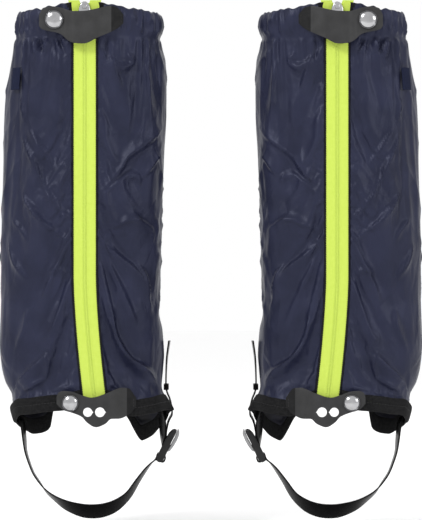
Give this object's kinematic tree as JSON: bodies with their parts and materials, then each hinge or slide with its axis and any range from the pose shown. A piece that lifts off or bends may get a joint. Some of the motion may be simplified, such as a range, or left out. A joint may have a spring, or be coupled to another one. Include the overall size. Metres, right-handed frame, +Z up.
{
  "type": "gaiters",
  "caption": "Pair of knee-length hiking gaiters: front zip under snapped tabs, gathered top, bound hem and buckled instep strap.",
  "frame": {"origin": "midway between the two gaiters, at the height of the front hem, on the plane through the middle of the legs", "axes": "+Z up the legs, -Y to the front where the zips are, +X from the gaiter on the viewer's left to the one on the right"},
  "size_m": [0.437, 0.1234, 0.5365],
  "materials": {
    "shell": "coated navy nylon, slight sheen",
    "binding": "matt woven tape",
    "elastic": "knitted elastic",
    "zip_tape": "matt neon woven tape",
    "zip_coil": "nylon coil",
    "metal": "satin nickel plate",
    "leather": "fine-grained coated fabric",
    "webbing": "smooth coated strap",
    "plastic": "satin acetal",
    "label": "plain woven label"
  },
  "bodies": {
    "left_gaiter": {"left_shell_inner_panel": "shell", "left_shell_outer_panel": "shell", "left_back_seam": "shell", "left_top_casing": "shell", "left_top_elastic": "elastic", "left_hem_binding": "binding", "left_zip_coil_left": "zip_coil", "left_zip_coil_right": "zip_coil", "left_zip_tape_left": "zip_tape", "left_zip_tape_right": "zip_tape", "left_zip_piping_left": "binding", "left_zip_piping_right": "binding", "left_zip_retainer_box": "zip_tape", "left_top_snap_stud": "metal", "left_bottom_snap_stud": "metal", "left_strap_tail": "webbing", "left_strap_keeper": "webbing", "left_strap_anchor": "webbing", "left_side_label": "label"},
    "left_slider": {"left_zip_slider": "metal"},
    "left_pull": {"left_zip_pull": "metal"},
    "left_top_flap": {"left_top_tab": "leather", "left_top_snap_cap": "metal", "left_top_snap_socket": "metal"},
    "left_bottom_flap": {"left_bottom_tab": "leather", "left_bottom_snap_cap": "metal", "left_bottom_snap_socket": "metal"},
    "left_stirrup": {"left_instep_strap": "webbing", "left_adjuster_strap": "webbing"},
    "left_buckle": {"left_buckle": "plastic"},
    "right_gaiter": {"right_shell_inner_panel": "shell", "right_shell_outer_panel": "shell", "right_back_seam": "shell", "right_top_casing": "shell", "right_top_elastic": "elastic", "right_hem_binding": "binding", "right_zip_coil_left": "zip_coil", "right_zip_coil_right": "zip_coil", "right_zip_tape_left": "zip_tape", "right_zip_tape_right": "zip_tape", "right_zip_piping_left": "binding", "right_zip_piping_right": "binding", "right_zip_retainer_box": "zip_tape", "right_top_snap_stud": "metal", "right_bottom_snap_stud": "metal", "right_strap_tail": "webbing", "right_strap_keeper": "webbing", "right_strap_anchor": "webbing", "right_side_label": "label"},
    "right_slider": {"right_zip_slider": "metal"},
    "right_pull": {"right_zip_pull": "metal"},
    "right_top_flap": {"right_top_tab": "leather", "right_top_snap_cap": "metal", "right_top_snap_socket": "metal"},
    "right_bottom_flap": {"right_bottom_tab": "leather", "right_bottom_snap_cap": "metal", "right_bottom_snap_socket": "metal"},
    "right_stirrup": {"right_instep_strap": "webbing", "right_adjuster_strap": "webbing"},
    "right_buckle": {"right_buckle": "plastic"}
  },
  "joints": [
    {"name": "left_zip_slide", "type": "slide", "parent": "left_gaiter", "child": "left_slider", "axis": [0, 0, -1], "range_m": [0, 0.26]},
    {"name": "left_pull_swing", "type": "hinge", "parent": "left_slider", "child": "left_pull", "pos_m": [-0.1292, -0.058, 0.409], "axis": [-1, 0, 0], "range_deg": [0, 12]},
    {"name": "left_top_tab_hinge", "type": "hinge", "parent": "left_gaiter", "child": "left_top_flap", "pos_m": [-0.0894, -0.0524, 0.402], "axis": [0, 0, 1], "range_deg": [0, 140]},
    {"name": "left_bottom_tab_hinge", "type": "hinge", "parent": "left_gaiter", "child": "left_bottom_flap", "pos_m": [-0.0765, -0.0488, 0.011], "axis": [0, 0, 1], "range_deg": [0, 140]},
    {"name": "left_stirrup_swing", "type": "hinge", "parent": "left_gaiter", "child": "left_stirrup", "pos_m": [-0.134, 0.008, -0.01], "axis": [1, 0, 0], "range_deg": [-35, 16]},
    {"name": "left_buckle_tilt", "type": "hinge", "parent": "left_stirrup", "child": "left_buckle", "pos_m": [-0.04711, 0.008, -0.03706], "axis": [0, 1, 0], "range_deg": [-4, 4]},
    {"name": "pair_spread", "type": "slide", "parent": "left_gaiter", "child": "right_gaiter", "axis": [1, 0, 0], "range_m": [0, 0.3]},
    {"name": "right_zip_slide", "type": "slide", "parent": "right_gaiter", "child": "right_slider", "axis": [0, 0, -1], "range_m": [0, 0.26]},
    {"name": "right_pull_swing", "type": "hinge", "parent": "right_slider", "child": "right_pull", "pos_m": [0.1292, -0.058, 0.409], "axis": [-1, 0, 0], "range_deg": [0, 12]},
    {"name": "right_top_tab_hinge", "type": "hinge", "parent": "right_gaiter", "child": "right_top_flap", "pos_m": [0.0894, -0.0524, 0.402], "axis": [0, 0, -1], "range_deg": [0, 140]},
    {"name": "right_bottom_tab_hinge", "type": "hinge", "parent": "right_gaiter", "child": "right_bottom_flap", "pos_m": [0.0765, -0.0488, 0.011], "axis": [0, 0, -1], "range_deg": [0, 140]},
    {"name": "right_stirrup_swing", "type": "hinge", "parent": "right_gaiter", "child": "right_stirrup", "pos_m": [0.134, 0.008, -0.01], "axis": [1, 0, 0], "range_deg": [-35, 16]},
    {"name": "right_buckle_tilt", "type": "hinge", "parent": "right_stirrup", "child": "right_buckle", "pos_m": [0.04711, 0.008, -0.03706], "axis": [0, -1, 0], "range_deg": [-4, 4]}
  ]
}
